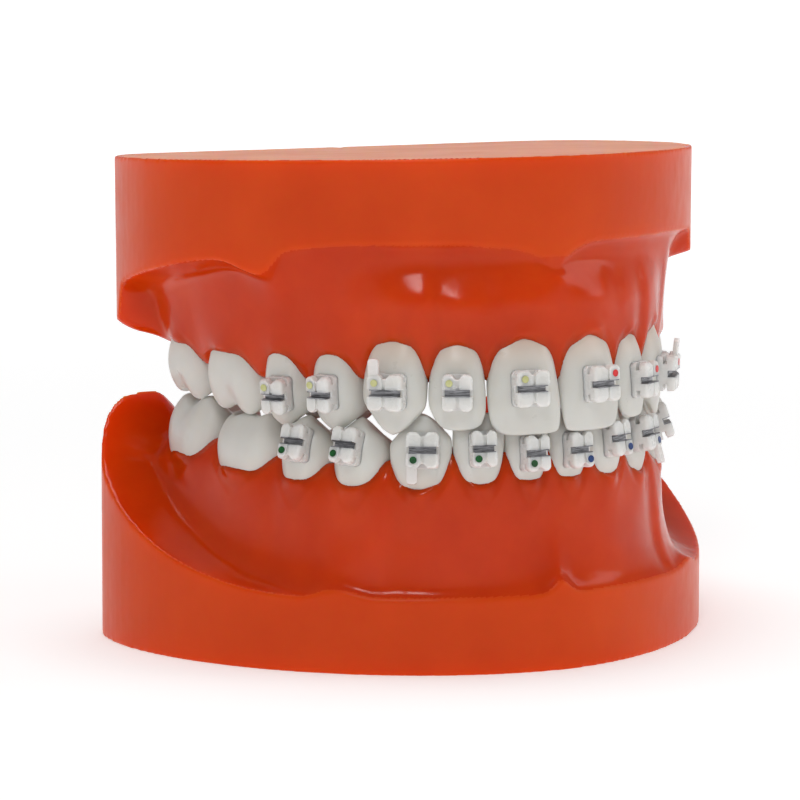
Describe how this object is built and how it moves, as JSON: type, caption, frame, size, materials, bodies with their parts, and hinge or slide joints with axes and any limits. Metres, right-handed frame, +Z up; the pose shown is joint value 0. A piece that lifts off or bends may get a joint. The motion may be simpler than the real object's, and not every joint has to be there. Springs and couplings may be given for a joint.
{
  "type": "typodont dental model",
  "caption": "Orthodontic typodont: upper and lower dental arches in translucent orange-red resin, white teeth with ceramic twin brackets, biting together",
  "frame": {"origin": "on the flat face the lower base stands on, in the mid plane of the mouth", "axes": "+Z up from the lower base to the upper base; -Y towards the front teeth; -X the right side of the mouth"},
  "size_m": [0.0748, 0.054, 0.0578],
  "materials": {
    "gum_resin": "polished translucent cast resin, walls trimmed satin",
    "tooth_resin": "polished",
    "bracket_ceramic": "translucent polished",
    "liner_steel": "satin",
    "dot_yellow": "gloss",
    "dot_red": "gloss",
    "dot_green": "gloss",
    "dot_blue": "gloss"
  },
  "bodies": {
    "lower_arch": {"lower_base": "gum_resin", "lower_left_bracket_dots": "dot_blue", "lower_left_canine": "tooth_resin", "lower_left_canine_bracket": "bracket_ceramic", "lower_left_central_incisor": "tooth_resin", "lower_left_central_incisor_bracket": "bracket_ceramic", "lower_left_first_molar": "tooth_resin", "lower_left_first_premolar": "tooth_resin", "lower_left_first_premolar_bracket": "bracket_ceramic", "lower_left_lateral_incisor": "tooth_resin", "lower_left_lateral_incisor_bracket": "bracket_ceramic", "lower_left_second_molar": "tooth_resin", "lower_left_second_premolar": "tooth_resin", "lower_left_second_premolar_bracket": "bracket_ceramic", "lower_right_bracket_dots": "dot_green", "lower_right_canine": "tooth_resin", "lower_right_canine_bracket": "bracket_ceramic", "lower_right_central_incisor": "tooth_resin", "lower_right_central_incisor_bracket": "bracket_ceramic", "lower_right_first_molar": "tooth_resin", "lower_right_first_premolar": "tooth_resin", "lower_right_first_premolar_bracket": "bracket_ceramic", "lower_right_lateral_incisor": "tooth_resin", "lower_right_lateral_incisor_bracket": "bracket_ceramic", "lower_right_second_molar": "tooth_resin", "lower_right_second_premolar": "tooth_resin", "lower_right_second_premolar_bracket": "bracket_ceramic", "lower_slot_liners": "liner_steel"},
    "upper_arch": {"upper_base": "gum_resin", "upper_left_bracket_dots": "dot_red", "upper_left_canine": "tooth_resin", "upper_left_canine_bracket": "bracket_ceramic", "upper_left_central_incisor": "tooth_resin", "upper_left_central_incisor_bracket": "bracket_ceramic", "upper_left_first_molar": "tooth_resin", "upper_left_first_premolar": "tooth_resin", "upper_left_first_premolar_bracket": "bracket_ceramic", "upper_left_lateral_incisor": "tooth_resin", "upper_left_lateral_incisor_bracket": "bracket_ceramic", "upper_left_second_molar": "tooth_resin", "upper_left_second_premolar": "tooth_resin", "upper_left_second_premolar_bracket": "bracket_ceramic", "upper_right_bracket_dots": "dot_yellow", "upper_right_canine": "tooth_resin", "upper_right_canine_bracket": "bracket_ceramic", "upper_right_central_incisor": "tooth_resin", "upper_right_central_incisor_bracket": "bracket_ceramic", "upper_right_first_molar": "tooth_resin", "upper_right_first_premolar": "tooth_resin", "upper_right_first_premolar_bracket": "bracket_ceramic", "upper_right_lateral_incisor": "tooth_resin", "upper_right_lateral_incisor_bracket": "bracket_ceramic", "upper_right_second_molar": "tooth_resin", "upper_right_second_premolar": "tooth_resin", "upper_right_second_premolar_bracket": "bracket_ceramic", "upper_slot_liners": "liner_steel"}
  },
  "joints": [
    {"name": "upper_lift", "type": "slide", "parent": "lower_arch", "child": "upper_arch", "axis": [0, 0, 1], "range_m": [0, 0.05]}
  ]
}
